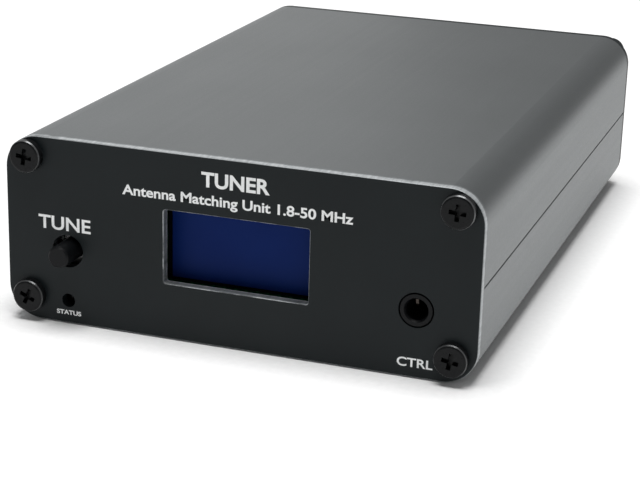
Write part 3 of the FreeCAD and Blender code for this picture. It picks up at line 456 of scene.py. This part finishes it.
FINISHES = {
    anodised_case(): ["case_top", "case_bottom"],
    black_plate("front_plate", bare_edges=True): ["front_panel"],
    black_plate("rear_plate", bare_edges=False): ["rear_panel"],
    worn_and_highlit_screw(): ["front_screws", "rear_screws"],
    BUTTON_BLACK: ["tune_button", "control_jack"],
    PLASTIC_BLACK: [
        "switch_body",
        "display_header",
        "usb_socket_tongue",
        "battery_holder",
        "microcontroller",
        "charger_chip",
    ],
    NICKEL_TURNED: ["radio_socket_shell", "antenna_socket_shell", "ground_post", "ground_thumb_nut"],
    NICKEL_STAMPED: [
        "radio_socket_washer",
        "radio_socket_nut",
        "antenna_socket_washer",
        "antenna_socket_nut",
        "ground_hex_nut",
        "ground_washer",
    ],
    STEEL: ["switch_bracket", "switch_dome", "usb_socket_shell", "battery_contacts"],
    TIN: [
        "status_lamp_legs",
        "charge_lamp_legs",
        "control_jack_contacts",
        "radio_socket_lead",
        "antenna_socket_lead",
    ],
    PTFE: ["radio_socket_insulator", "antenna_socket_insulator"],
    GOLD: ["radio_socket_contact", "antenna_socket_contact"],
    COPPER: ["inductor_windings", "air_coils", "coupler_wires"],
    CORE_RED: ["inductor_cores"],
    FERRITE: ["coupler_core", "power_choke"],
    RELAY: ["inductor_relays", "capacitor_relays", "side_relay"],
    CERAMIC: ["tuning_capacitors", "small_parts"],
    AMBER: ["display_ribbon"],
    SLEEVE: ["battery_cell"],
    GLASS_DARK: ["display_glass"],
    display_blue(): ["display_film"],
    shaded_lamp_resin(): ["status_lamp", "charge_lamp"],
    board_green(): ["main_board", "display_board"],
}
for material, names in FINISHES.items():
    for name in names:
        NODES[name].data.materials.clear()
        NODES[name].data.materials.append(material)

# ---------------------------------------------------------------- small fittings


def add_mesh(name, mesh_maker, material):
    """A new piece that a function builds in bmesh, fixed to the tuner."""
    mesh = bpy.data.meshes.new(name)
    shape = bmesh.new()
    mesh_maker(shape)
    bmesh.ops.recalc_face_normals(shape, faces=shape.faces)
    shape.to_mesh(mesh)
    shape.free()
    mesh.materials.append(material)
    thing = bpy.data.objects.new(name, mesh)
    scene.collection.objects.link(thing)
    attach(thing, "tuner")


def ribbon(shape, path, across, thick):
    """A bent strip of even thickness along a path of points; across is half its width as a vector."""
    rows = []
    for i, point in enumerate(path):
        before, after = path[max(i - 1, 0)], path[min(i + 1, len(path) - 1)]
        lift = (after - before).cross(across).normalized() * thick / 2
        corners = (point - across - lift, point + across - lift, point + across + lift, point - across + lift)
        rows.append([shape.verts.new(corner) for corner in corners])
    for one, two in zip(rows, rows[1:]):
        for k in range(4):
            shape.faces.new((one[k], one[(k + 1) % 4], two[(k + 1) % 4], two[k]))
    shape.faces.new(rows[0][::-1])
    shape.faces.new(rows[-1])


def jack_spring(shape):
    """The sprung leaf at the top of the control jack's bore, its tip curled up at the mouth.

    Its points are depths behind the front panel's face and rises over the bore's axis, in mm.
    """
    half_width, thick = 0.22 * MM, 0.12 * MM
    tip = [(0.5, 1.72), (0.55, 1.4), (0.7, 0.95), (1.1, 0.5)]
    depth_and_rise = tip + [(1.9, 0.3), (3.0, 0.5), (4.4, 1.1), (6, 1.7)]
    path = [Vector((JACK.x, FRONT + depth * MM, JACK.z + rise * MM)) for depth, rise in depth_and_rise]
    ribbon(shape, path, Vector((half_width, 0, 0)), thick)


def usb_strips(shape):
    """Twelve gilt strips on each face of the charging socket's tongue, half sunk in it."""
    count, pitch, width, length = 12, 0.5 * MM, 0.25 * MM, 3.6 * MM
    half_blade, half_thick, from_mouth = 0.35 * MM, 0.02 * MM, 2.3 * MM
    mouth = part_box("usb_socket_tongue")[1].y
    shell = middle("usb_socket_shell")
    size = Matrix.Diagonal((width, length, 2 * half_thick, 1))
    for side in (-1, 1):
        for k in range(count):
            x = shell.x + (k - (count - 1) / 2) * pitch
            place = Vector((x, mouth - from_mouth, shell.z + side * half_blade))
            bmesh.ops.create_cube(shape, size=1, matrix=Matrix.Translation(place) @ size)


add_mesh("jack_spring_leaf", jack_spring, SHADED_BRONZE)
add_mesh("usb_contact_strips", usb_strips, GOLD)

# ---------------------------------------------------------------- printed legends

INK_PROUD = 0.02 * MM
CURVE_STEPS = 6


def legend(name, text, place, offset, size, weight):
    """A printed word on the panel that a place is nearer to, its letters thickened by a weight.

    The middle of its foot is offset from the place, to the right or up as the panel is looked at, and
    its size is the width and height of the whole outline, with any letter's tail. Both are in mm.
    """
    curve = bpy.data.curves.new(name, "FONT")
    curve.body = text
    curve.align_x = "CENTER"
    curve.offset = weight
    curve.resolution_u = CURVE_STEPS
    source = bpy.data.objects.new(name + "_source", curve)
    scene.collection.objects.link(source)
    bpy.context.view_layer.update()
    mesh = bpy.data.meshes.new_from_object(source)
    bpy.data.objects.remove(source)
    xs = [v.co.x for v in mesh.vertices]
    ys = [v.co.y for v in mesh.vertices]
    across = size[0] * MM / (max(xs) - min(xs))
    up = size[1] * MM / (max(ys) - min(ys))
    right, face = (1, FRONT - INK_PROUD) if place.y < 0 else (-1, REAR + INK_PROUD)
    for v in mesh.vertices:
        x = offset[0] * MM + (v.co.x - (max(xs) + min(xs)) / 2) * across
        z = offset[1] * MM + (v.co.y - min(ys)) * up
        v.co = Vector((place.x + right * x, face, place.z + z))
    mesh.name = name
    mesh.materials.append(INK)
    word = bpy.data.objects.new(name, mesh)
    scene.collection.objects.link(word)
    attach(word, "tuner")


# The button stands straight over the lamp, so both of their words are placed from the lamp.
LEGENDS = (
    ("legend_title", "TUNER", PANEL, (-0.03, 10.85), (11.6, 2.53), 0.03),
    ("legend_subtitle", "Antenna Matching Unit 1.8-50 MHz", PANEL, (0.01, 7.37), (39.2, 2.27), 0.025),
    ("legend_tune", "TUNE", LAMP, (-0.48, 12.10), (9.45, 2.37), 0.02),
    ("legend_status", "STATUS", LAMP, (0.04, -2.54), (4.47, 0.8), 0.03),
    ("legend_control", "CTRL", JACK, (0.15, -9.54), (5.87, 1.54), 0.02),
    ("legend_radio", "RADIO", MOUNTS["radio_socket"], (0, 9.85), (7.0, 1.6), 0.03),
    ("legend_antenna", "ANT", MOUNTS["antenna_socket"], (0, 9.85), (4.6, 1.6), 0.03),
    ("legend_ground", "GND", MOUNTS["ground_post"], (0, 5.6), (4.2, 1.4), 0.03),
    ("legend_charge", "CHARGE", MOUNTS["charging_socket"], (0, -5.73), (6.4, 1.2), 0.03),
)
for row in LEGENDS:
    legend(*row)

# ---------------------------------------------------------------- floor, light and camera

FLOOR_RADIUS, FLOOR_SIDES, FLOOR_GAP = 4.0, 64, 0.2 * MM
SKY_STRENGTH = 0.24
# Each light's name, place, target, size and power in watts.
LIGHTS = (
    ("overhead", (0.0, -0.05, 1.1), (0, 0, 0), (0.6, 0.6), 14),
    ("left_back", (-0.55, 0.9, 0.35), (0, 0, 0.03), (0.6, 0.6), 0.75),
    ("right_side", (0.9, 0.3, 0.25), (0, 0, 0.01), (0.5, 0.4), 0.2),
)
# The direction that the camera looks from, and how far it is rolled, in degrees.
AZIMUTH, ELEVATION, TILT = 18.896, 18.722, -1.598
CAMERA_PLACE = Vector((100.706, -312.412, 110.395)) * MM
FOCAL_LENGTH, SENSOR_WIDTH = 101.68, 36
NEAREST_SEEN = 10 * MM


def backdrop():
    """A wide round sheet of pale paper, just under the object."""
    mesh = bpy.data.meshes.new("floor")
    shape = bmesh.new()
    bmesh.ops.create_circle(shape, cap_ends=True, segments=FLOOR_SIDES, radius=FLOOR_RADIUS)
    shape.to_mesh(mesh)
    shape.free()
    mesh.materials.append(floor_paper())
    floor = bpy.data.objects.new("floor", mesh)
    scene.collection.objects.link(floor)
    floor.location.z = -FLOOR_GAP


def sky():
    """An even white light from all round."""
    world = bpy.data.worlds.new("sky")
    scene.world = world
    world.use_nodes = True
    background = world.node_tree.nodes["Background"]
    background.inputs["Color"].default_value = (1, 1, 1, 1)
    background.inputs["Strength"].default_value = SKY_STRENGTH


def area_light(name, place, target, size, power):
    """A rectangular light that faces its target and that the camera doesn't see."""
    data = bpy.data.lights.new(name, "AREA")
    data.shape = "RECTANGLE"
    data.size, data.size_y = size
    data.energy = power
    lamp = bpy.data.objects.new(name, data)
    lamp.location = place
    lamp.visible_camera = False
    lamp.rotation_euler = (Vector(target) - Vector(place)).to_track_quat("-Z", "Y").to_euler()
    scene.collection.objects.link(lamp)


def front_camera():
    """A camera at its place, turned by its azimuth and elevation and rolled by its tilt."""
    azimuth, elevation, tilt = (math.radians(angle) for angle in (AZIMUTH, ELEVATION, TILT))
    level = math.cos(elevation)
    back = Vector((math.sin(azimuth) * level, -math.cos(azimuth) * level, math.sin(elevation)))
    right = Vector((math.cos(azimuth), math.sin(azimuth), 0))
    up = back.cross(right)
    tilted_right = right * math.cos(tilt) - up * math.sin(tilt)
    tilted_up = right * math.sin(tilt) + up * math.cos(tilt)
    turn = Matrix((tilted_right, tilted_up, back)).transposed()
    data = bpy.data.cameras.new("camera")
    data.sensor_width = SENSOR_WIDTH
    data.lens = FOCAL_LENGTH
    data.clip_start = NEAREST_SEEN
    camera = bpy.data.objects.new("camera", data)
    camera.matrix_world = Matrix.Translation(CAMERA_PLACE) @ turn.to_4x4()
    scene.collection.objects.link(camera)
    scene.camera = camera


backdrop()
sky()
for row in LIGHTS:
    area_light(*row)
front_camera()
scene.view_settings.view_transform = "Standard"
